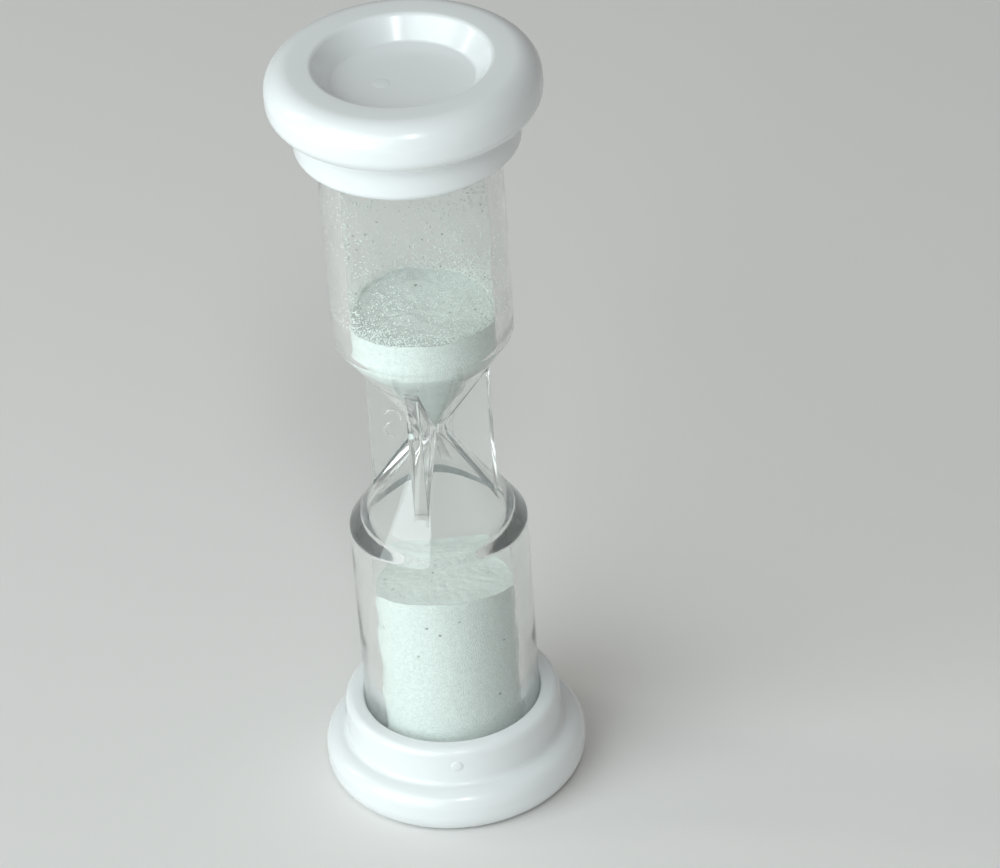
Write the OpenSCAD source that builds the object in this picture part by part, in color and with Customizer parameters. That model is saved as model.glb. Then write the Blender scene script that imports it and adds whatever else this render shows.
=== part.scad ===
// Sand timer: a clear one-piece double bulb stiffened by webs, closed by two pressed-on caps,
// with a charge of fine sand partly run through.
// Z is the timer's axis. The lower cap stands on Z = 0, and two of the webs lie along X.

/* [Overall] */
// Height over both caps
total_h = 90; // [75:1:120]

/* [Clear body] */
// Outside diameter of each bulb
bulb_d = 19.2; // [15:0.1:26]
// Wall of the bulbs
bulb_wall = 2; // [1.2:0.1:2.6]
// Wall of the cones, thinner than the bulbs' wall
cone_wall = 1; // [0.7:0.1:1.6]
// Height of each cone, from mid-neck up to the bulb
cone_h = 12.2; // [10:0.1:16]
// Outside diameter of the neck
neck_d = 3.6; // [2.8:0.1:4.4]
// Length of the straight part of the neck
neck_len = 1.6; // [0.8:0.1:3]
// Diameter of the hole that meters the sand
orifice_d = 1.2; // [0.6:0.1:1.6]
// How many webs brace the neck
web_count = 4; // [3:1:6]
// How far each web's edge stands back from the outside of the bulb
web_setback = 2.95; // [1.5:0.05:4]
// Thickness of each web
web_t = 1.5; // [0.8:0.1:2.4]

/* [Caps] */
// Overall height of a cap, from its outer face to the lip of its collar
cap_h = 9.9; // [8:0.1:13]
// Wall of the collar around the bulb
collar_wall = 2.1; // [1.4:0.1:3]
// Rounding of the collar's lip, outside
lip_round = 0.9; // [0.3:0.1:1.2]
// Rounding of the collar's lip, inside
lip_lead = 0.4; // [0.1:0.1:0.6]
// How far the flange stands out from the collar
flange_reach = 2.5; // [2:0.1:5]
// Thickness of the flange
flange_t = 5.4; // [4.6:0.1:7]
// Rounding of the flange towards its outer face
crown_round = 2.7; // [1.5:0.1:3]
// Rounding of the flange towards the collar
under_round = 1.8; // [0.8:0.1:1.9]
// Fillet where the collar meets the flange
collar_fillet = 0.7; // [0.2:0.1:1]
// Diameter of the dished recess at its rim
dish_d = 18.6; // [12:0.1:19]
// How far the recess wall slopes in on its way down
dish_slope = 1.75; // [0.5:0.05:3]
// Depth of the recess
dish_depth = 2.4; // [1:0.1:3.5]
// Rounding of the recess rim
dish_rim_round = 0.7; // [0.2:0.1:1]
// Floor between the recess and the end of the bulb
floor_t = 1.2; // [0.8:0.1:2]
// Length of the plug that closes the bulb
plug_len = 2; // [1:0.1:4]
// Lead-in chamfer on the plug
plug_lead = 0.4; // [0.1:0.1:0.8]

/* [Sand] */
// Depth of sand above the cone of the upper bulb
upper_fill = 4.3; // [1.6:0.1:12]
// Dip in the middle of the upper sand
upper_dip = 0.6; // [0:0.1:1]
// Empty height left between the lower sand and the cone
lower_gap = 6.8; // [4:0.1:14]
// Rise of the lower heap above its edge
heap_rise = 1.8; // [0.5:0.1:4]
// Thickness of the sand at each level that moves as the sand runs
level_t = 1; // [0.8:0.1:1.5]

/* [Clearances] */
// Between the bulb and the collar's socket, on the radius
socket_gap = 0.1; // [0.05:0.01:0.3]
// Between the plug and the bore, on the radius
plug_gap = 0.03; // [0.01:0.01:0.1]
// Between still sand and the wall, on the radius
sand_gap = 0.05; // [0.02:0.01:0.1]
// Between the moving sand levels and what they pass
level_gap = 0.15; // [0.1:0.01:0.3]

/* [Hidden] */
$fn = 96;
past = 0.5; // how far a cutting shape runs past what it cuts

mid_z = total_h / 2;
bulb_r = bulb_d / 2;
bore_r = bulb_r - bulb_wall;
neck_r = neck_d / 2;
orifice_r = orifice_d / 2;
web_r = bulb_r - web_setback;

// The caps' stack of heights, from a cap's outer face inwards
seat_z = dish_depth + floor_t;
plug_z = seat_z + plug_len;
socket_r = bulb_r + socket_gap;
collar_r = socket_r + collar_wall;
flange_r = collar_r + flange_reach;
fillet_r = min(collar_fillet, flange_reach - under_round); // ends where the flange's rounding starts
plug_r = bore_r - plug_gap;
dish_r = dish_d / 2;
dish_floor_r = dish_r - dish_slope;
dish_angle = atan2(dish_depth, dish_slope);
rim_tangent = dish_rim_round * tan(dish_angle / 2);

// Cones: radius gained per millimetre of height, and heights above mid-neck
cone_rate = (bulb_r - neck_r) / (cone_h - neck_len / 2);
cone_wall_r = cone_wall * sqrt(1 + cone_rate * cone_rate);
function cone_z(outer_r) = neck_len / 2 + (outer_r - neck_r) / cone_rate;
bore_z = cone_z(bore_r + cone_wall_r);
orifice_z = max(neck_len / 4, cone_z(orifice_r + cone_wall_r));
web_z = cone_z(web_r);
bulb_end = mid_z - seat_z;

// Sand levels, as heights above the foot
funnel_top = mid_z + bore_z;
upper_top = funnel_top + upper_fill;
upper_level_z = upper_top - level_t;
heap_edge = mid_z - bore_z - lower_gap;
heap_base = heap_edge - level_t;
sand_r = bore_r - sand_gap;
level_r = bore_r - level_gap;

// ---- clear body ----

module bulb_outline() {
    polygon([
        [0, bulb_end],
        [bulb_r, bulb_end],
        [bulb_r, cone_h],
        [neck_r, neck_len / 2],
        [neck_r, -neck_len / 2],
        [bulb_r, -cone_h],
        [bulb_r, -bulb_end],
        [0, -bulb_end]
    ]);
}

module chamber_outline() {
    polygon([
        [0, bulb_end + past],
        [bore_r, bulb_end + past],
        [bore_r, bore_z],
        [orifice_r, orifice_z],
        [orifice_r, -orifice_z],
        [bore_r, -bore_z],
        [bore_r, -bulb_end - past],
        [0, -bulb_end - past]
    ]);
}

module webs() {
    reach_z = web_z + cone_wall / 4; // ends inside the cones' walls
    for (turn = [0 : 360 / web_count : 359])
        rotate(turn)
            translate([0, -web_t / 2, -reach_z])
                cube([web_r, web_t, 2 * reach_z]);
}

module clear_body() {
    color([0.80, 0.83, 0.82, 0.35])
        translate([0, 0, mid_z])
            difference() {
                union() {
                    rotate_extrude() bulb_outline();
                    webs();
                }
                rotate_extrude() chamber_outline();
            }
}

// ---- caps ----

// What a round edge leaves over at the outer corner (r, z) of a section; up is 1 where the
// section lies above the corner and -1 where it lies below
module corner_waste(r, z, round, up) {
    difference() {
        translate([r - round, up > 0 ? z - past : z - round])
            square(round + past);
        translate([r - round, z + up * round])
            circle(round);
    }
}

module flange_section() {
    difference() {
        square([flange_r, flange_t]);
        corner_waste(flange_r, 0, crown_round, 1);
        corner_waste(flange_r, flange_t, under_round, -1);
    }
}

// The collar starts inside the flange, which carries it
module collar_section() {
    difference() {
        translate([0, flange_t / 2])
            square([collar_r, cap_h - flange_t / 2]);
        corner_waste(collar_r, cap_h, lip_round, -1);
    }
}

module fillet_section() {
    translate([collar_r, flange_t])
        difference() {
            translate([-past, -past])
                square(fillet_r + past);
            translate([fillet_r, fillet_r])
                circle(fillet_r);
        }
}

module dish_section() {
    difference() {
        polygon([
            [0, -past],
            [dish_r + rim_tangent, -past],
            [dish_r + rim_tangent, 0],
            [dish_r - rim_tangent * cos(dish_angle), rim_tangent * sin(dish_angle)],
            [dish_floor_r, dish_depth],
            [0, dish_depth]
        ]);
        translate([dish_r + rim_tangent, dish_rim_round])
            circle(dish_rim_round);
    }
}

module socket_section() {
    translate([0, seat_z])
        square([socket_r, cap_h - seat_z + past]);
    // the lip's inner edge, rounded
    difference() {
        translate([socket_r - past, cap_h - lip_lead])
            square([lip_lead + past, lip_lead + past]);
        translate([socket_r + lip_lead, cap_h - lip_lead])
            circle(lip_lead);
    }
}

module plug_section() {
    polygon([
        [0, seat_z - floor_t / 2],
        [plug_r, seat_z - floor_t / 2],
        [plug_r, plug_z - plug_lead],
        [plug_r - plug_lead, plug_z],
        [0, plug_z]
    ]);
}

// A cap standing on its outer face
module cap() {
    rotate_extrude() {
        difference() {
            union() {
                flange_section();
                collar_section();
                fillet_section();
            }
            dish_section();
            socket_section();
        }
        plug_section();
    }
}

module lower_cap() {
    color([0.90, 0.93, 0.95])
        cap();
}

module upper_cap() {
    color([0.90, 0.93, 0.95])
        translate([0, 0, total_h])
            mirror([0, 0, 1])
                cap();
}

// ---- sand ----

// Sand that fills the cone of the upper bulb down to mid-neck
module upper_sand_funnel() {
    color([0.84, 0.89, 0.88])
        translate([0, 0, mid_z])
            rotate_extrude()
                polygon([
                    [0, 0],
                    [orifice_r - sand_gap, 0],
                    [orifice_r - sand_gap, orifice_z],
                    [sand_r, bore_z],
                    [0, bore_z]
                ]);
}

module upper_sand_column() {
    color([0.82, 0.87, 0.86])
        translate([0, 0, funnel_top])
            cylinder(r = sand_r, h = upper_level_z - funnel_top);
}

// Top layer of the upper sand, with the shallow dip that forms over the neck
module upper_sand_surface() {
    color([0.88, 0.92, 0.91])
        rotate_extrude()
            polygon([
                [0, upper_level_z + sand_gap],
                [level_r, upper_level_z + sand_gap],
                [level_r, upper_top],
                [0, upper_top - upper_dip]
            ]);
}

module lower_sand_column() {
    color([0.82, 0.87, 0.86])
        translate([0, 0, plug_z])
            cylinder(r = sand_r, h = heap_base - plug_z);
}

// Cone that the falling sand heaps up
module lower_sand_heap() {
    color([0.88, 0.92, 0.91])
        rotate_extrude()
            polygon([
                [0, heap_base + sand_gap],
                [level_r, heap_base + sand_gap],
                [level_r, heap_edge],
                [0, heap_edge + heap_rise]
            ]);
}

clear_body();
upper_cap();
lower_cap();
upper_sand_funnel();
upper_sand_column();
upper_sand_surface();
lower_sand_column();
lower_sand_heap();
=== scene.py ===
"""Looks of a small sand timer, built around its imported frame: the clear double bulb, the white caps,
the sand in both bulbs, the grains that cling to the wall, and a plain studio stage."""

import math

import bpy
import numpy as np
from mathutils import Matrix, Vector, noise


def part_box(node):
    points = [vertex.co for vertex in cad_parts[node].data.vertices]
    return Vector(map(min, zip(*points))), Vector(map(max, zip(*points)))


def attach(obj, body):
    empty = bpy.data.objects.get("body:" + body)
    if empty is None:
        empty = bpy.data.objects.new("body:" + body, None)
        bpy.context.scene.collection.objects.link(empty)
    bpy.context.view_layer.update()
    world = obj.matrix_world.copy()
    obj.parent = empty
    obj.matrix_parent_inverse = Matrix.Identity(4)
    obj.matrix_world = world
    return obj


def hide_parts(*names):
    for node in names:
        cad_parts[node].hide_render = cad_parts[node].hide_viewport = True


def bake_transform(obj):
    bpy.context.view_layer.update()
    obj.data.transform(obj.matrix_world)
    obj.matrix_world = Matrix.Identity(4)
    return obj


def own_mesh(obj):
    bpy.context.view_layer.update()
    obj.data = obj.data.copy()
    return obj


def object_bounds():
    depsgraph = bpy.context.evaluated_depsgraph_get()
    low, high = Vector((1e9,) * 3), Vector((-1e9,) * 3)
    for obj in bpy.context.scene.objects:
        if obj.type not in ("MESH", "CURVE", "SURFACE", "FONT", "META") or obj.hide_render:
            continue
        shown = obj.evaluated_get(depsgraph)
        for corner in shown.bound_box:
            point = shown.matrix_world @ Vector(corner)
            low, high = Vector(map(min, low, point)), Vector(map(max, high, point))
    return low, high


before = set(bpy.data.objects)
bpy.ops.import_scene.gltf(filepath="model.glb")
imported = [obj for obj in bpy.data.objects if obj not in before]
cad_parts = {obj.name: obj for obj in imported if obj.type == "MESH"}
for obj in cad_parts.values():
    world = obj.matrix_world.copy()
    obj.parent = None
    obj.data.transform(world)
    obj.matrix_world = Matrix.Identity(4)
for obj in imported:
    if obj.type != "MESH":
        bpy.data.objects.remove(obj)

bl_info = {
    "name": "Sand Timer",
    "version": (1, 0, 0),
    "blender": (4, 5, 0),
    "location": "3D View > Sidebar > Sand Timer",
    "description": "Builds the clear body, caps and sand of a small sand timer",
    "category": "Add Mesh",
}

MM = 0.001
TIMER = "timer"
LOWER_LEVEL = "lower_level"
HAIR = 0.002 * MM  # keeps two surfaces that meet from cutting each other

# How many points go round what is turned
SAND_COLUMNS = 160
CAP_COLUMNS = 224
MARK_COLUMNS = 32

# ---- places taken from the frame ----

WHOLE_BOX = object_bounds()
BODY_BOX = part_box("clear_body")
CAP_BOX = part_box("lower_cap")
FUNNEL_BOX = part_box("upper_sand_funnel")
UPPER_COLUMN_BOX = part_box("upper_sand_column")
UPPER_TOP_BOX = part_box("upper_sand_surface")
LOWER_COLUMN_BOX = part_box("lower_sand_column")
HEAP_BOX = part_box("lower_sand_heap")

TOTAL_H = WHOLE_BOX[1].z
MID_Z = TOTAL_H / 2
BULB_R = BODY_BOX[1].x
BULB_END = BODY_BOX[1].z - MID_Z
FLANGE_R = CAP_BOX[1].x
CAP_H = CAP_BOX[1].z
SAND_R = FUNNEL_BOX[1].x
BORE_Z = FUNNEL_BOX[1].z - MID_Z
PLUG_Z = LOWER_COLUMN_BOX[0].z
SEAT_Z = BODY_BOX[0].z


# ---- sizes and colours a user would change ----


def length(name, description, default_mm, low_mm=0.0, high_mm=200.0):
    """A length property, given in millimetres and kept in metres."""
    return bpy.props.FloatProperty(
        name=name,
        description=description,
        default=default_mm * MM,
        min=low_mm * MM,
        max=high_mm * MM,
        precision=5,
        subtype="DISTANCE",
        unit="LENGTH",
    )


def angle(name, description, degrees):
    """An angle property, given in degrees and kept in radians."""
    return bpy.props.FloatProperty(
        name=name,
        description=description,
        default=math.radians(degrees),
        subtype="ANGLE",
        unit="ROTATION",
    )


def colour(name, description, default):
    """A linear colour property."""
    return bpy.props.FloatVectorProperty(
        name=name, description=description, default=default, min=0.0, max=1.0, size=3, subtype="COLOR"
    )


def number(name, description, default):
    """A plain number that isn't negative."""
    return bpy.props.FloatProperty(name=name, description=description, default=default, min=0.0)


def count(name, description, default, low=0):
    """A whole number."""
    return bpy.props.IntProperty(name=name, description=description, default=default, min=low)


class BodySizes(bpy.types.PropertyGroup):
    """Sizes of the clear body that its box doesn't give."""

    sand_gap: length("Sand gap", "Air between the sand and the wall of the bore", 0.05)
    cone_h: length("Cone height", "From the middle of the neck up to the full bulb", 12.2)
    neck_d: length("Neck diameter", "Outside of the neck", 3.6)
    neck_len: length("Neck length", "Straight part of the neck", 1.6)
    orifice_d: length("Orifice diameter", "Hole that meters the sand", 1.2)
    web_t: length("Web thickness", "Thickness of each web that braces the neck", 1.5)
    web_setback: length("Web setback", "From the outside of the bulb in to the web's edge", 2.95)
    web_count: count("Webs", "How many webs brace the neck", 4, 3)
    curl_d: length("Curl diameter", "Width of the raised curl on the left web", 1.7)
    curl_reach: length("Curl reach", "From the neck out to the middle of the curl", 2.1)
    curl_bead: length("Curl bead", "Radius of the bead that draws the curl", 0.11)
    curl_height: length("Curl height", "From mid-neck up to the middle of the curl", 0.2)
    shoulder_round: length("Shoulder rounding", "Softness of the edge where cone meets bulb", 0.16)
    bore_round: length("Bore rounding", "Softness of the bore where its cone meets the bulb", 0.8)
    orifice_round: length("Orifice rounding", "Softness of the bore where its cone meets the orifice", 0.3)
    web_fillet: length("Web fillet", "Fillet where the webs grow out of the cones", 0.45)
    web_edge_round: length("Web edge rounding", "Softness of the webs' long edges", 0.16)


class CapSizes(bpy.types.PropertyGroup):
    """Sizes of the caps that their box doesn't give."""

    flange_t: length("Flange thickness", "Height of the flange", 5.4)
    crown_round: length("Crown rounding", "Rounding of the flange's outer face", 2.7)
    under_round: length("Under rounding", "Rounding of the flange towards the collar", 1.8)
    collar_wall: length("Collar wall", "Wall of the collar around the bulb", 2.1)
    socket_gap: length("Socket gap", "Between the bulb and the collar", 0.1)
    collar_fillet: length("Collar fillet", "Where the collar meets the flange", 0.7)
    lip_round: length("Lip rounding", "Outer edge of the collar's lip", 0.9)
    lip_lead: length("Lip lead-in", "Inner edge of the collar's lip", 0.4)
    dish_d: length("Dish diameter", "Recess in the outer face, at its rim", 18.6)
    dish_slope: length("Dish slope", "How far the recess wall slopes in", 1.75)
    dish_depth: length("Dish depth", "Depth of the recess", 2.4)
    dish_rim_round: length("Dish rim rounding", "Rounding of the recess rim", 0.7)
    dish_floor_fillet: length("Dish floor fillet", "Fillet around the recess floor", 0.45)
    plug_gap: length("Plug gap", "Between the plug and the bore", 0.03)
    plug_lead: length("Plug lead-in", "Chamfer on the end of the plug", 0.4)
    mark_height: length("Mark height", "How far the gate stub stands out; the pin mark is half as high", 0.12)
    gate_d: length("Gate mark diameter", "Stub left where the plastic entered the mould", 1.3)
    pin_d: length("Pin mark diameter", "Mark of an ejector pin on the recess floor", 1.8)
    pin_offset: length("Pin mark offset", "From the middle of the recess floor to the pin mark", 2.0)
    gate_height: length("Gate mark height", "From the cap's outer face up to the stub", 7.9)


class SandSizes(bpy.types.PropertyGroup):
    """How the sand lies and how coarse it looks."""

    dip: length("Dip", "Dip in the middle of the upper sand", 0.6)
    roughness: length("Surface roughness", "Unevenness of the sand's top surfaces", 0.27)
    grain: length("Grain", "Size of one grain", 0.16)
    fleck: length("Fleck", "Size of a dark grain", 0.34)
    heap_tilt: length("Heap tilt", "How much lower the heap lies at the back than at the front", 3.4)
    heap_edge: length("Heap edge", "From the heap's underside in the CAD model up to its edge", 0.95)
    heap_rise: length("Heap rise", "Rise of the heap's middle above its edge", 0.5)
    lump: length("Lump", "Spread of the soft lumps on the sand's surface", 3.2)
    ripple: length("Ripple", "Spread of the finer ripple on them", 0.7)
    dark_share: number("Dark share", "Share of the places for dark grains that have one", 0.045)
    clinging: count("Clinging grains", "Pale grains stuck to the upper bulb's wall", 9000)
    clinging_small: length("Smallest clinging grain", "Half the width of the smallest pale one", 0.035)
    clinging_large: length("Largest clinging grain", "Half the width of the largest pale one", 0.12)
    clinging_dark: count("Dark clinging grains", "Dark grains stuck to the upper bulb's wall", 60)
    dark_small: length("Smallest dark clinging grain", "Half the width of the smallest dark one", 0.06)
    dark_large: length("Largest dark clinging grain", "Half the width of the largest dark one", 0.14)
    patch: length("Patch", "Spread of the patches that the clinging grains lie in", 4)
    fringe: length("Fringe", "How far up the wall the sand's edge thins out", 0.9)
    fringe_share: number("Fringe share", "Share of the pale clinging grains that lie in the fringe", 0.2)
    fringe_share_dark: number("Dark fringe share", "Share of the dark clinging grains there", 0.1)
    seed: count("Seed", "Seed of the grains' places", 7)


class Colours(bpy.types.PropertyGroup):
    """Colours of the plastics, the sand and the stage."""

    clear: colour("Clear plastic", "Tint of the clear body", (0.97, 0.985, 0.975))
    cap: colour("Caps", "White plastic of the caps", (0.785, 0.815, 0.82))
    sand: colour("Sand", "Pale grains", (0.645, 0.695, 0.67))
    sand_shade: colour("Sand, shaded grains", "The duller grains among them", (0.53, 0.57, 0.55))
    fleck: colour("Dark grains", "The few dark grains", (0.13, 0.15, 0.135))
    floor: colour("Floor", "Plain floor", (0.80, 0.79, 0.775))


class StageSizes(bpy.types.PropertyGroup):
    """Camera and lamps."""

    camera_distance: length("Camera distance", "From the camera to the middle of the timer", 576.3, 100, 5000)
    camera_side: length("Camera side shift", "Camera's place to the right of the timer", 7.25, -100, 100)
    camera_drop: length("Camera drop", "How far below mid-height the camera aims", 2.0, -100, 100)
    camera_azimuth: angle("Camera azimuth", "Around the timer from its front web", 15.0)
    camera_elevation: angle("Camera elevation", "Above the horizon", 34.54)
    camera_roll: angle("Camera roll", "Tilt of the picture", 4.18)
    lens: number("Lens", "Focal length on a 36 mm sensor", 194.8)
    floor_size: length("Floor size", "Side of the floor", 3000, 500, 10000)
    sky: number("Sky", "Strength of the even light from all around", 0.25)


GROUPS = {
    "timer_body": BodySizes,
    "timer_caps": CapSizes,
    "timer_sand": SandSizes,
    "timer_colours": Colours,
    "timer_stage": StageSizes,
}


# Each lamp: its name, degrees to the right of the camera, degrees up, distance in metres, width and height
# in metres, watts and colour
LAMPS = (
    ("window_left", -48, 26, 0.75, (0.8, 0.8), 6.2, (0.89, 0.98, 1.0)),
    ("strip_left", -105, 28, 0.8, (0.05, 0.4), 0.55, (1.0, 0.97, 0.86)),
    ("window_small", 5, 50, 0.9, (0.09, 0.24), 1.2, (0.97, 1.0, 1.0)),
    ("fill_right", 80, 35, 1.0, (0.6, 0.6), 0.12, (1.0, 0.96, 0.92)),
)


# ---- mesh helpers ----


def new_piece(name, points, faces, finish, body=None, sharp_degrees=35.0):
    """A mesh object from points and faces, shaded smooth except at edges sharper than the given angle."""
    mesh = bpy.data.meshes.new(name)
    mesh.from_pydata([tuple(p) for p in points], [], faces)
    mesh.validate()
    mesh.polygons.foreach_set("use_smooth", [True] * len(mesh.polygons))
    mesh.set_sharp_from_angle(angle=math.radians(sharp_degrees))
    mesh.materials.append(finish)
    piece = bpy.data.objects.new(name, mesh)
    bpy.context.scene.collection.objects.link(piece)
    if body:
        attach(piece, body)
    return piece


def ring_faces(columns, rows):
    """Quads between consecutive rings of points."""
    faces = []
    for row in range(rows - 1):
        low, high = row * columns, (row + 1) * columns
        for i in range(columns):
            j = (i + 1) % columns
            faces.append((low + i, low + j, high + j, high + i))
    return faces


def arc(centre_r, centre_z, radius, start, stop, steps):
    """Points (r, z) along an arc, angles in degrees from +r towards +z."""
    return [
        (centre_r + radius * math.cos(a), centre_z + radius * math.sin(a))
        for a in np.radians(np.linspace(start, stop, steps + 1))
    ]


def lathe(outline, columns):
    """Points and faces of a closed solid turned from an outline of (r, z) whose two ends lie on the axis."""
    points = [(0.0, 0.0, outline[0][1])]
    angles = np.linspace(0, 2 * math.pi, columns, endpoint=False)
    for r, z in outline[1:-1]:
        points += [(r * math.cos(a), r * math.sin(a), z) for a in angles]
    points.append((0.0, 0.0, outline[-1][1]))
    rings = len(outline) - 2
    faces = [tuple(i + 1 for i in face) for face in ring_faces(columns, rings)]
    last = len(points) - 1
    top = 1 + (rings - 1) * columns
    for i in range(columns):
        j = (i + 1) % columns
        faces.append((0, 1 + j, 1 + i))
        faces.append((last, top + i, top + j))
    return points, faces


def smooth_max(a, b, blend):
    """The larger of a and b, with a fillet where they are close."""
    return np.maximum(a, b) + np.maximum(blend - np.abs(a - b), 0) ** 2 / (4 * blend)


def smooth_min(a, b, blend):
    """The smaller of a and b, rounded where they are close."""
    return -smooth_max(-a, -b, blend)


# ---- shape of the clear body ----


def cone_rate(sizes):
    """Radius that a cone gains for each metre of height."""
    return (BULB_R - sizes.neck_d / 2) / (sizes.cone_h - sizes.neck_len / 2)


def shell_radius(sizes, height):
    """Outside radius of bulb, cone and neck, at heights above mid-neck, without the webs."""
    neck_r = sizes.neck_d / 2
    cone = neck_r + (height - sizes.neck_len / 2) * cone_rate(sizes)
    return smooth_min(smooth_max(neck_r, cone, sizes.shoulder_round), BULB_R, sizes.shoulder_round)


def bore_radius(sizes, height):
    """Inside radius of bulb, cone and orifice, at heights above mid-neck."""
    bore_r = SAND_R + sizes.sand_gap
    cone = bore_r + (height - BORE_Z) * cone_rate(sizes)
    return smooth_min(smooth_max(sizes.orifice_d / 2, cone, sizes.orifice_round), bore_r, sizes.bore_round)


def web_columns(sizes):
    """Angles of the body's columns of points: close together on the webs' edges, sides and fillets."""
    half_t = sizes.web_t / 2
    web_r = BULB_R - sizes.web_setback
    sector = math.pi / sizes.web_count
    # across half of a web's edge, down its side to the neck, and on round to midway between two webs
    edge = list(np.linspace(0, 0.85 * math.asin(half_t / web_r), 4)[:-1])
    side = [math.asin(half_t / r) for r in np.linspace(1.03 * web_r, sizes.neck_d / 2, 30)]
    between = list(np.linspace(side[-1], sector, 9))[1:]
    half = edge + side + between
    angles = []
    for web in range(sizes.web_count):
        middle = 2 * sector * web
        angles += [middle - a for a in reversed(half[1:])][1:]
        angles += [middle + a for a in half]
    return np.array(angles)


def body_rows(sizes):
    """Heights above mid-neck of the body's rows of points: close together on the webs and the shoulders."""
    shoulder = sizes.cone_h / MM
    webs_end, shoulder_low, shoulder_high = 9.0, shoulder - 1.0, shoulder + 1.2
    web_step, cone_step, shoulder_step = 0.2, 0.35, 0.12
    half = np.concatenate([
        np.arange(0, webs_end, web_step) * MM,
        np.arange(webs_end, shoulder_low, cone_step) * MM,
        np.arange(shoulder_low, shoulder_high, shoulder_step) * MM,
        np.linspace((shoulder_high + 0.1) * MM, BULB_END, 16),
    ])
    return np.concatenate([-half[:0:-1], half])


def build_clear_body(sizes, finish):
    """One closed moulding: outside with webs, bore with orifice, and the two flat ends."""
    angles = web_columns(sizes)
    rows = body_rows(sizes)
    columns = len(angles)
    sector = 2 * math.pi / sizes.web_count
    from_web = (angles + sector / 2) % sector - sector / 2
    half_t = sizes.web_t / 2
    web_edge = (BULB_R - sizes.web_setback) / np.cos(from_web)
    # how far out a web's side is met, which is never along its middle, so there it is put far out
    web_side = half_t / np.maximum(np.abs(np.sin(from_web)), 1e-4)
    web = smooth_min(web_edge, np.minimum(web_side, 4 * BULB_R), sizes.web_edge_round)
    points = []
    for h in rows:
        outer = shell_radius(sizes, np.full(columns, abs(h)))
        if abs(h) < sizes.cone_h:
            outer = smooth_max(outer, web, sizes.web_fillet)
        points += [(r * math.cos(a), r * math.sin(a), MID_Z + h) for r, a in zip(outer, angles)]
    for h in rows[::-1]:
        r = float(bore_radius(sizes, abs(h)))
        points += [(r * math.cos(a), r * math.sin(a), MID_Z + h) for a in angles]
    faces = ring_faces(columns, 2 * len(rows))
    last = (2 * len(rows) - 1) * columns
    for i in range(columns):
        j = (i + 1) % columns
        faces.append((last + i, last + j, j, i))
    return new_piece("clear_body_moulding", points, faces, finish, TIMER, 50.0)


def build_web_curl(sizes, finish):
    """A small raised curl on the face of the left web, of the kind a mould leaves as its number.
    It is two hooks, one above the other."""
    radius, bead = sizes.curl_d / 2, sizes.curl_bead
    sides = 8
    centre = Vector((-(sizes.neck_d / 2 + sizes.curl_reach), -sizes.web_t / 2, MID_Z + sizes.curl_height))
    upper = [(math.cos(a), 1.0 + math.sin(a)) for a in np.radians(np.linspace(160, -20, 12))]
    lower = [(-0.2 + math.cos(a), -1.0 + math.sin(a)) for a in np.radians(np.linspace(100, 280, 12))]
    for part, path in (("upper", upper), ("lower", lower)):
        points = []
        for i, (x, z) in enumerate(path):
            ahead, behind = path[min(i + 1, len(path) - 1)], path[max(i - 1, 0)]
            along = Vector((ahead[0] - behind[0], 0, ahead[1] - behind[1])).normalized()
            across = along.cross(Vector((0, 1, 0)))
            middle = centre + Vector((x * radius, 0, z * radius))
            for a in np.linspace(0, 2 * math.pi, sides, endpoint=False):
                points.append(middle + across * (bead * math.cos(a)) + Vector((0, bead * math.sin(a), 0)))
        faces = ring_faces(sides, len(path))
        faces += [tuple(reversed(range(sides))), tuple(range(len(points) - sides, len(points)))]
        curl = new_piece(f"web_curl_{part}", points, faces, finish, TIMER, 60.0)


# ---- shape of the caps ----


def cap_outline(sizes, sand_gap):
    """Half section of a cap standing on its outer face, from the middle of the dish to the plug's end."""
    socket_r = BULB_R + sizes.socket_gap
    collar_r = socket_r + sizes.collar_wall
    plug_r = SAND_R + sand_gap - sizes.plug_gap
    slope = math.atan2(sizes.dish_depth, sizes.dish_slope)
    dish_r, floor_r = sizes.dish_d / 2, sizes.dish_d / 2 - sizes.dish_slope
    rim_tangent = sizes.dish_rim_round * math.tan(slope / 2)
    floor_tangent = sizes.dish_floor_fillet * math.tan(slope / 2)
    steep = math.degrees(slope)
    outline = [(r, sizes.dish_depth) for r in np.linspace(0.0, 0.75 * floor_r, 4)]
    fillet, rim, crown = sizes.dish_floor_fillet, sizes.dish_rim_round, sizes.crown_round
    under, lip, mouth, lead = sizes.under_round, sizes.lip_round, sizes.lip_lead, sizes.plug_lead
    outline += arc(floor_r - floor_tangent, sizes.dish_depth - fillet, fillet, 90, 90 - steep, 6)
    outline += arc(dish_r + rim_tangent, rim, rim, 270 - steep, 270, 8)
    outline += arc(FLANGE_R - crown, crown, crown, 270, 360, 18)
    outline += arc(FLANGE_R - under, sizes.flange_t - under, under, 0, 90, 14)
    foot = min(sizes.collar_fillet, FLANGE_R - under - collar_r - HAIR)
    outline += arc(collar_r + foot, sizes.flange_t + foot, foot, 270, 180, 8)
    outline += arc(collar_r - lip, CAP_H - lip, lip, 0, 90, 8)
    outline += arc(socket_r + mouth, CAP_H - mouth, mouth, 90, 180, 5)
    outline += [(socket_r, SEAT_Z), (plug_r, SEAT_Z), (plug_r, PLUG_Z - lead), (plug_r - lead, PLUG_Z)]
    outline += [(plug_r / 2, PLUG_Z), (0.0, PLUG_Z)]
    return outline


def build_cap(name, node, sizes, sand_gap, finish, upside_down):
    """A cap turned from its outline, stood on the floor or hung from the top."""
    points, faces = lathe(cap_outline(sizes, sand_gap), CAP_COLUMNS)
    if upside_down:
        points = [(x, y, TOTAL_H - z) for x, y, z in points]
        faces = [face[::-1] for face in faces]
    piece = new_piece(name, points, faces, finish, TIMER, 40.0)
    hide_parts(node)


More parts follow.
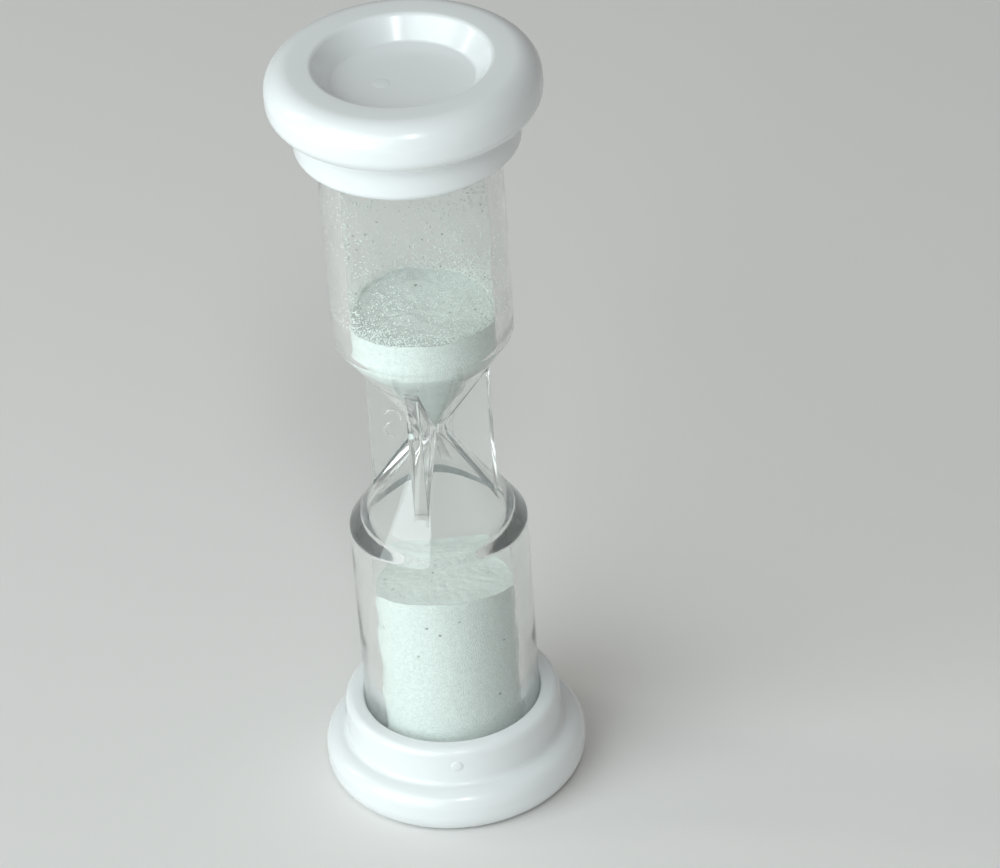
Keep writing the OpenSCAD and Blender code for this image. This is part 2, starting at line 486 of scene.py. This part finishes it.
def low_dome(name, radius, height, place, facing, finish):
    """A flat dome that stands proud of a wall: the stub of a mould gate or of an ejector pin."""
    outline = [(0.0, -height), (radius, -height), (radius, 0.0)]
    outline += [(radius * math.cos(a), height * math.sin(a)) for a in np.radians(np.linspace(15, 75, 5))]
    outline += [(0.0, height)]
    points, faces = lathe(outline, MARK_COLUMNS)
    turn = facing.to_track_quat("Z", "Y").to_matrix()
    piece = new_piece(name, [place + turn @ Vector(p) for p in points], faces, finish, TIMER, 60.0)


# ---- shape of the sand ----


def uneven(sand, x, y, amount, offset):
    """Height of the sand's uneven surface at (x, y): soft lumps with a finer ripple on them.
    Surfaces with different offsets have different lumps."""
    soft = noise.noise(Vector((x / sand.lump, y / sand.lump, offset)))
    fine = noise.noise(Vector((x / sand.ripple, y / sand.ripple, offset + 9)))
    return amount * (0.8 * soft + 0.35 * fine)


def surface_rings(radius, height_at, rings):
    """Rings of (r, height) from the wall in to the middle, for a sand surface."""
    shares = [1 - i / rings for i in range(rings)] + [0.0]
    return [(radius * share, height_at(share)) for share in shares]


def sand_solid(name, sand, wall, surface, finish, amount, offset):
    """A body of sand: its outline up the wall, then a surface with uneven heights."""
    points, faces = lathe(wall + surface, SAND_COLUMNS)
    shifted = []
    for index, (x, y, z) in enumerate(points):
        row = (index - 1) // SAND_COLUMNS + 1
        if row >= len(wall) or index == len(points) - 1:
            z += uneven(sand, x, y, amount, offset)
        shifted.append((x, y, z))
    return new_piece(name, shifted, faces, finish, None, 30.0)


def build_upper_sand(body, sand, finish):
    """Sand in the upper bulb, from the orifice to the level."""
    level = UPPER_TOP_BOX[1].z
    start = UPPER_COLUMN_BOX[0].z
    stop = UPPER_COLUMN_BOX[1].z
    past_round = 2 * MM  # the bore's rounding ends this far above its cone
    wall = [(0.0, MID_Z)]
    for height in np.linspace(0.0, BORE_Z + past_round, 64):
        wall.append((float(bore_radius(body, height)) - body.sand_gap, MID_Z + height))
    wall += [(SAND_R, z) for z in np.linspace(start + 1.1 * past_round, stop, 5)]
    surface = surface_rings(SAND_R, lambda s: level - sand.dip * (1 - s * s), 26)
    piece = sand_solid("upper_sand", sand, wall, surface, finish, sand.roughness, 1.7)
    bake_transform(piece)
    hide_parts("upper_sand_funnel", "upper_sand_column", "upper_sand_surface")


def slope_drop(sand, away, x, y):
    """How far the slope has sunk at (x, y), from nothing at the front to the whole tilt at the back."""
    return sand.heap_tilt * (0.5 + 0.5 * (x * away.x + y * away.y) / SAND_R)


def build_lower_sand(sand, away, finish):
    """Sand in the lower bulb: a column that stands on the plug, and the sloping heap that rides on it.
    away is the flat direction in which the heap slopes down."""
    low = LOWER_COLUMN_BOX[0].z
    split = LOWER_COLUMN_BOX[1].z - sand.heap_tilt
    hollow = split - sand.roughness / 2
    wall = [(0.0, low)] + [(SAND_R, z) for z in np.linspace(low, split, 12)]
    top = [(SAND_R - sand.roughness, hollow), (SAND_R / 2, hollow), (0.0, hollow)]
    points, faces = lathe(wall + top, SAND_COLUMNS)
    column = new_piece("lower_sand", points, faces, finish, TIMER, 30.0)
    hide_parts("lower_sand_column")
    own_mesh(column)

    edge = HEAP_BOX[0].z + sand.heap_edge
    rim = split + sand.roughness
    wall = [(0.0, split + HAIR), (SAND_R, split + HAIR), (SAND_R, rim)]
    surface = surface_rings(SAND_R, lambda s: edge + sand.heap_rise * (1 - s) ** 1.15, 30)
    heap = sand_solid("lower_sand_heap_top", sand, wall, surface, finish, 0.8 * sand.roughness, 4.1)
    for vertex in heap.data.vertices:
        if vertex.co.z > rim + HAIR:
            vertex.co.z -= slope_drop(sand, away, vertex.co.x, vertex.co.y)
    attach(heap, LOWER_LEVEL)
    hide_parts("lower_sand_heap")


def grain_cluster(name, places, sizes_m, finish):
    """Many little lumps joined into one piece, each an eight-sided stone turned its own way."""
    stone = [Vector(p) for p in ((1, 0, 0), (-1, 0, 0), (0, 1, 0), (0, -1, 0), (0, 0, 1), (0, 0, -1))]
    sides = [(0, 2, 4), (2, 1, 4), (1, 3, 4), (3, 0, 4), (2, 0, 5), (1, 2, 5), (3, 1, 5), (0, 3, 5)]
    spin, tip = 2.4, 1.3  # how much further each stone is turned than the one before, in radians
    points = []
    faces = []
    for index, (place, size) in enumerate(zip(places, sizes_m)):
        turn = Matrix.Rotation(index * spin, 3, "Z") @ Matrix.Rotation(index * tip, 3, "X")
        first = len(points)
        points += [Vector(place) + turn @ (corner * size) for corner in stone]
        faces += [tuple(first + i for i in side) for side in sides]
    piece = new_piece(name, points, faces, finish, TIMER, 80.0)


def film_places(sand, rng, amount, reach, fringe_share):
    """Places on the upper bulb's wall, at a reach from its axis: some in the fringe just above the sand, the
    others in patches that thin out upwards."""
    low, high = UPPER_TOP_BOX[1].z, TOTAL_H - PLUG_Z
    found = []
    while len(found) < amount:
        a = rng.uniform(0, 2 * math.pi)
        in_fringe = rng.uniform(0, 1) < fringe_share
        rise = rng.exponential(sand.fringe) if in_fringe else (high - low) * rng.uniform(0, 1)
        z = low + min(rise, high - low)
        patch = 0.45 + 0.9 * noise.noise(Vector((math.cos(a) * 2.5, math.sin(a) * 2.5, z / sand.patch)))
        thinning = 1.3 - 0.8 * (z - low) / (high - low)
        if in_fringe or rng.uniform(0, 1) < patch * thinning:
            found.append((reach * math.cos(a), reach * math.sin(a), z))
    return found


def build_clinging_grains(sand, pale, dark):
    """A film of grains on the inner wall of the upper bulb, with many more small ones than large ones."""
    rng = np.random.default_rng(sand.seed)
    spread = sand.clinging_large - sand.clinging_small
    pale_sizes = sand.clinging_small + spread * rng.uniform(0, 1, sand.clinging) ** 2
    dark_sizes = rng.uniform(sand.dark_small, sand.dark_large, sand.clinging_dark)
    pale_places = film_places(sand, rng, sand.clinging, SAND_R, sand.fringe_share)
    grain_cluster("clinging_grains_pale", pale_places, pale_sizes, pale)
    nearer = SAND_R - sand.grain / 3
    dark_places = film_places(sand, rng, sand.clinging_dark, nearer, sand.fringe_share_dark)
    grain_cluster("clinging_grains_dark", dark_places, dark_sizes, dark)


# ---- materials ----


def new_finish(name, **inputs):
    """A material with one Principled shader, and its node tree and shader."""
    material = bpy.data.materials.new(name)
    material.use_nodes = True
    tree = material.node_tree
    shader = tree.nodes["Principled BSDF"]
    for socket, value in inputs.items():
        shader.inputs[socket.replace("_", " ")].default_value = value
    return material, tree, shader


def add_node(tree, kind, **settings):
    """A node of a kind, with its properties and unlinked inputs set."""
    node = tree.nodes.new(kind)
    for key, value in settings.items():
        if hasattr(node, key):
            setattr(node, key, value)
        else:
            node.inputs[key.replace("_", " ")].default_value = value
    return node


def place_noise(tree, scale, detail=3.0, kind="ShaderNodeTexNoise"):
    """A noise texture fixed to the piece's own place in metres."""
    where = add_node(tree, "ShaderNodeTexCoord")
    texture = add_node(tree, kind, Scale=scale)
    if kind == "ShaderNodeTexNoise":
        texture.inputs["Detail"].default_value = detail
    tree.links.new(where.outputs["Object"], texture.inputs["Vector"])
    return texture


def ramp(tree, source, low, high, low_out, high_out):
    """Maps a value from one range to another, without going past its ends."""
    node = add_node(tree, "ShaderNodeMapRange")
    for socket, value in (("From Min", low), ("From Max", high), ("To Min", low_out), ("To Max", high_out)):
        node.inputs[socket].default_value = value
    tree.links.new(source, node.inputs["Value"])
    return node.outputs["Result"]


def bump(tree, shader, height, strength, distance):
    """Drives the shader's normal from a height."""
    node = add_node(tree, "ShaderNodeBump", Strength=strength, Distance=distance)
    tree.links.new(height, node.inputs["Height"])
    tree.links.new(node.outputs["Normal"], shader.inputs["Normal"])
    return node


def mix_colours(tree, factor, first, second):
    """A colour between two, by a factor from 0 to 1."""
    node = tree.nodes.new("ShaderNodeMix")
    node.data_type = "RGBA"
    tree.links.new(factor, node.inputs["Factor"])
    for socket, value in ((node.inputs[6], first), (node.inputs[7], second)):
        if isinstance(value, bpy.types.NodeSocket):
            tree.links.new(value, socket)
        else:
            socket.default_value = (*value, 1.0)
    return node.outputs[2]


def clear_plastic(colours):
    """Clear moulded plastic: bends light, and lets lamps through to what it shuts in."""
    material, tree, shader = new_finish("clear_plastic", IOR=1.53, Transmission_Weight=0.975)
    shader.inputs["Base Color"].default_value = (*colours.clear, 1.0)
    flow = place_noise(tree, 260.0, 2.0)
    tree.links.new(ramp(tree, flow.outputs["Fac"], 0.35, 0.75, 0.012, 0.05), shader.inputs["Roughness"])
    bump(tree, shader, place_noise(tree, 150.0, 1.5).outputs["Fac"], 0.26, 0.0005)
    path = add_node(tree, "ShaderNodeLightPath")
    through = add_node(tree, "ShaderNodeBsdfTransparent")
    through.inputs["Color"].default_value = (0.9, 0.91, 0.905, 1.0)
    either = add_node(tree, "ShaderNodeMixShader")
    tree.links.new(path.outputs["Is Shadow Ray"], either.inputs[0])
    tree.links.new(shader.outputs[0], either.inputs[1])
    tree.links.new(through.outputs[0], either.inputs[2])
    tree.links.new(either.outputs[0], tree.nodes["Material Output"].inputs["Surface"])
    return material


def cap_plastic(colours):
    """White glossy moulding with a faint cloudiness and slightly uneven gloss."""
    material, tree, shader = new_finish("cap_plastic", IOR=1.5, Coat_Weight=0.15, Coat_Roughness=0.12)
    cloud = place_noise(tree, 140.0, 4.0)
    tint = mix_colours(tree, cloud.outputs["Fac"], shaded(colours.cap, 0.988), shaded(colours.cap, 1.012))
    tree.links.new(tint, shader.inputs["Base Color"])
    gloss = place_noise(tree, 300.0, 2.0)
    tree.links.new(ramp(tree, gloss.outputs["Fac"], 0.3, 0.7, 0.20, 0.26), shader.inputs["Roughness"])
    return material


def sand_finish(name, sand, colours):
    """Fine dry sand: grains of two pale tones, a few dark ones, and a grainy surface."""
    material, tree, shader = new_finish(name, IOR=1.5, Specular_IOR_Level=0.35)
    grains = place_noise(tree, 1 / sand.grain, kind="ShaderNodeTexVoronoi")
    flecks = place_noise(tree, 1 / (2.2 * sand.fleck), kind="ShaderNodeTexVoronoi")
    tone = add_node(tree, "ShaderNodeSeparateColor")
    tree.links.new(grains.outputs["Color"], tone.inputs[0])
    pale = mix_colours(tree, tone.outputs[0], colours.sand, colours.sand_shade)
    chosen = add_node(tree, "ShaderNodeSeparateColor")
    tree.links.new(flecks.outputs["Color"], chosen.inputs[0])
    rarest = 1 - sand.dark_share
    is_dark = ramp(tree, chosen.outputs[1], rarest, rarest + 0.002, 0.0, 1.0)
    near = ramp(tree, flecks.outputs["Distance"], 0.16, 0.26, 0.85, 0.0)
    both = add_node(tree, "ShaderNodeMath", operation="MULTIPLY")
    tree.links.new(is_dark, both.inputs[0])
    tree.links.new(near, both.inputs[1])
    tree.links.new(mix_colours(tree, both.outputs[0], pale, colours.fleck), shader.inputs["Base Color"])
    tree.links.new(ramp(tree, tone.outputs[1], 0.0, 1.0, 0.55, 0.85), shader.inputs["Roughness"])
    bump(tree, shader, grains.outputs["Distance"], 0.5, 0.00012).invert = True
    return material


def two_tone(name, roughness, scale, detail, first, second):
    """A matt finish that drifts between two colours."""
    material, tree, shader = new_finish(name, Roughness=roughness)
    cloud = place_noise(tree, scale, detail)
    tree.links.new(mix_colours(tree, cloud.outputs["Fac"], first, second), shader.inputs["Base Color"])
    return material


def shaded(tint, factor):
    """A colour made darker or lighter, no lighter than white."""
    return tuple(min(1.0, factor * part) for part in tint)


# ---- operators ----


class SANDTIMER_OT_clear_body(bpy.types.Operator):
    """Build the clear double bulb with its webs and bore, and the curl on one web"""

    bl_idname = "sand_timer.clear_body"
    bl_label = "Clear Body"

    def execute(self, context):
        scene = context.scene
        finish = clear_plastic(scene.timer_colours)
        body = build_clear_body(scene.timer_body, finish)
        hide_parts("clear_body")
        build_web_curl(scene.timer_body, finish)
        return {"FINISHED"}


class SANDTIMER_OT_caps(bpy.types.Operator):
    """Build the two caps and the marks that their mould left"""

    bl_idname = "sand_timer.caps"
    bl_label = "Caps"

    def execute(self, context):
        scene = context.scene
        sizes = scene.timer_caps
        finish = cap_plastic(scene.timer_colours)
        sand_gap = scene.timer_body.sand_gap
        build_cap("lower_cap_moulding", "lower_cap", sizes, sand_gap, finish, False)
        build_cap("upper_cap_moulding", "upper_cap", sizes, sand_gap, finish, True)
        collar_r = BULB_R + sizes.socket_gap + sizes.collar_wall
        pins = (
            ("lower_pin_mark", sizes.dish_depth, -1),
            ("upper_pin_mark", TOTAL_H - sizes.dish_depth, 1),
        )
        for name, height, up in pins:
            place = Vector((-sizes.pin_offset, -sizes.pin_offset / 2, height))
            low_dome(name, sizes.pin_d / 2, sizes.mark_height / 2, place, Vector((0, 0, up)), finish)
        gates = (
            ("lower_gate_mark", sizes.gate_height, -75),
            ("upper_gate_mark", TOTAL_H - sizes.gate_height, 75),
        )
        for name, height, azimuth in gates:
            turn = math.radians(azimuth)
            outward = Vector((math.cos(turn), math.sin(turn), 0.0))
            place = outward * collar_r + Vector((0, 0, height))
            low_dome(name, sizes.gate_d / 2, sizes.mark_height, place, outward, finish)
        return {"FINISHED"}


class SANDTIMER_OT_upper_sand(bpy.types.Operator):
    """Build the sand in the upper bulb"""

    bl_idname = "sand_timer.upper_sand"
    bl_label = "Upper Sand"

    def execute(self, context):
        scene = context.scene
        finish = sand_finish("upper_sand_grains", scene.timer_sand, scene.timer_colours)
        build_upper_sand(scene.timer_body, scene.timer_sand, finish)
        return {"FINISHED"}


class SANDTIMER_OT_lower_sand(bpy.types.Operator):
    """Build the sand in the lower bulb"""

    bl_idname = "sand_timer.lower_sand"
    bl_label = "Lower Sand"

    def execute(self, context):
        scene = context.scene
        finish = sand_finish("lower_sand_grains", scene.timer_sand, scene.timer_colours)
        front = scene.timer_stage.camera_azimuth
        away = Vector((-math.sin(front), math.cos(front), 0.0))
        build_lower_sand(scene.timer_sand, away, finish)
        return {"FINISHED"}


class SANDTIMER_OT_clinging_grains(bpy.types.Operator):
    """Scatter the grains that cling to the wall of the upper bulb"""

    bl_idname = "sand_timer.clinging_grains"
    bl_label = "Clinging Grains"

    def execute(self, context):
        scene = context.scene
        colours = scene.timer_colours
        pale = two_tone("pale_grains", 0.6, 2500.0, 1.0, colours.sand, shaded(colours.sand, 1.15))
        dark = two_tone("dark_grains", 0.6, 2500.0, 1.0, colours.fleck, shaded(colours.fleck, 2.0))
        build_clinging_grains(scene.timer_sand, pale, dark)
        return {"FINISHED"}


def add_lamp(name, azimuth, elevation, distance, size, power, tint, aim):
    """A rectangular area lamp that faces a point, placed by angles around it."""
    lamp = bpy.data.lights.new(name, "AREA")
    lamp.shape = "RECTANGLE"
    lamp.size, lamp.size_y = size
    lamp.energy = power
    lamp.color = tint
    holder = bpy.data.objects.new(name, lamp)
    bpy.context.scene.collection.objects.link(holder)
    a, e = math.radians(azimuth), math.radians(elevation)
    away = Vector((math.sin(a) * math.cos(e), -math.cos(a) * math.cos(e), math.sin(e)))
    holder.location = aim + away * distance
    holder.rotation_euler = away.to_track_quat("Z", "Y").to_euler()


class SANDTIMER_OT_stage(bpy.types.Operator):
    """Set up the floor, the lamps and the camera"""

    bl_idname = "sand_timer.stage"
    bl_label = "Stage"

    def execute(self, context):
        scene = context.scene
        stage = scene.timer_stage
        half = stage.floor_size / 2
        corners = [(-half, -half, 0), (half, -half, 0), (half, half, 0), (-half, half, 0)]
        tint = scene.timer_colours.floor
        paint = two_tone("floor_paint", 0.85, 6.0, 3.0, shaded(tint, 0.985), tint)
        floor = new_piece("floor", corners, [(0, 1, 2, 3)], paint)
        self.light(scene, stage)
        scene.camera = self.camera(scene, stage)
        return {"FINISHED"}

    def light(self, scene, stage):
        """The lamps, even light from all around, and as many bounces as clear plastic needs."""
        aim = Vector((0, 0, MID_Z))
        front = math.degrees(stage.camera_azimuth)
        for name, turn, elevation, distance, size, power, tint in LAMPS:
            add_lamp(name, front + turn, elevation, distance, size, power, tint, aim)
        world = bpy.data.worlds.new("studio")
        scene.world = world
        world.use_nodes = True
        background = world.node_tree.nodes["Background"]
        background.inputs["Color"].default_value = (1.0, 0.99, 0.965, 1.0)
        background.inputs["Strength"].default_value = stage.sky
        scene.view_settings.view_transform = "Standard"
        scene.cycles.max_bounces = 32
        scene.cycles.transmission_bounces = 32
        scene.cycles.glossy_bounces = 16

    def camera(self, scene, stage):
        """The camera, turned about the timer's axis and rolled about its own."""
        lens = bpy.data.cameras.new("camera")
        lens.sensor_width = 36.0
        lens.lens = stage.lens
        lens.clip_start = 0.01
        holder = bpy.data.objects.new("camera", lens)
        scene.collection.objects.link(holder)
        up_angle, roll = stage.camera_elevation, stage.camera_roll
        turn = Matrix.Rotation(stage.camera_azimuth, 3, "Z")
        ahead = Vector((0, math.cos(up_angle), -math.sin(up_angle)))
        across = Vector((1, 0, 0))
        up = across.cross(ahead)
        place = Vector((stage.camera_side, 0, MID_Z - stage.camera_drop)) - ahead * stage.camera_distance
        right_axis = turn @ (across * math.cos(roll) - up * math.sin(roll))
        up_axis = turn @ (across * math.sin(roll) + up * math.cos(roll))
        axes = Matrix((right_axis, up_axis, turn @ -ahead)).transposed()
        holder.matrix_world = Matrix.Translation(turn @ place) @ axes.to_4x4()
        return holder


class SANDTIMER_PT_panel(bpy.types.Panel):
    """Lists the pieces of the timer and its sizes"""

    bl_idname = "SANDTIMER_PT_panel"
    bl_label = "Sand Timer"
    bl_space_type = "VIEW_3D"
    bl_region_type = "UI"
    bl_category = "Sand Timer"

    def draw(self, context):
        for operator in OPERATORS:
            self.layout.operator(operator.bl_idname)
        for group in GROUPS:
            box = self.layout.box()
            settings = getattr(context.scene, group)
            for name in settings.__annotations__:
                box.prop(settings, name)


OPERATORS = (
    SANDTIMER_OT_clear_body,
    SANDTIMER_OT_caps,
    SANDTIMER_OT_upper_sand,
    SANDTIMER_OT_lower_sand,
    SANDTIMER_OT_clinging_grains,
    SANDTIMER_OT_stage,
)
CLASSES = (*GROUPS.values(), *OPERATORS, SANDTIMER_PT_panel)


def register():
    for cls in CLASSES:
        bpy.utils.register_class(cls)
    for name, group in GROUPS.items():
        setattr(bpy.types.Scene, name, bpy.props.PointerProperty(type=group))


def unregister():
    for name in GROUPS:
        delattr(bpy.types.Scene, name)
    for cls in reversed(CLASSES):
        bpy.utils.unregister_class(cls)


def main():
    """Builds every piece in order."""
    register()
    bpy.ops.sand_timer.clear_body()
    bpy.ops.sand_timer.caps()
    bpy.ops.sand_timer.upper_sand()
    bpy.ops.sand_timer.lower_sand()
    bpy.ops.sand_timer.clinging_grains()
    bpy.ops.sand_timer.stage()


if __name__ == "__main__":
    main()
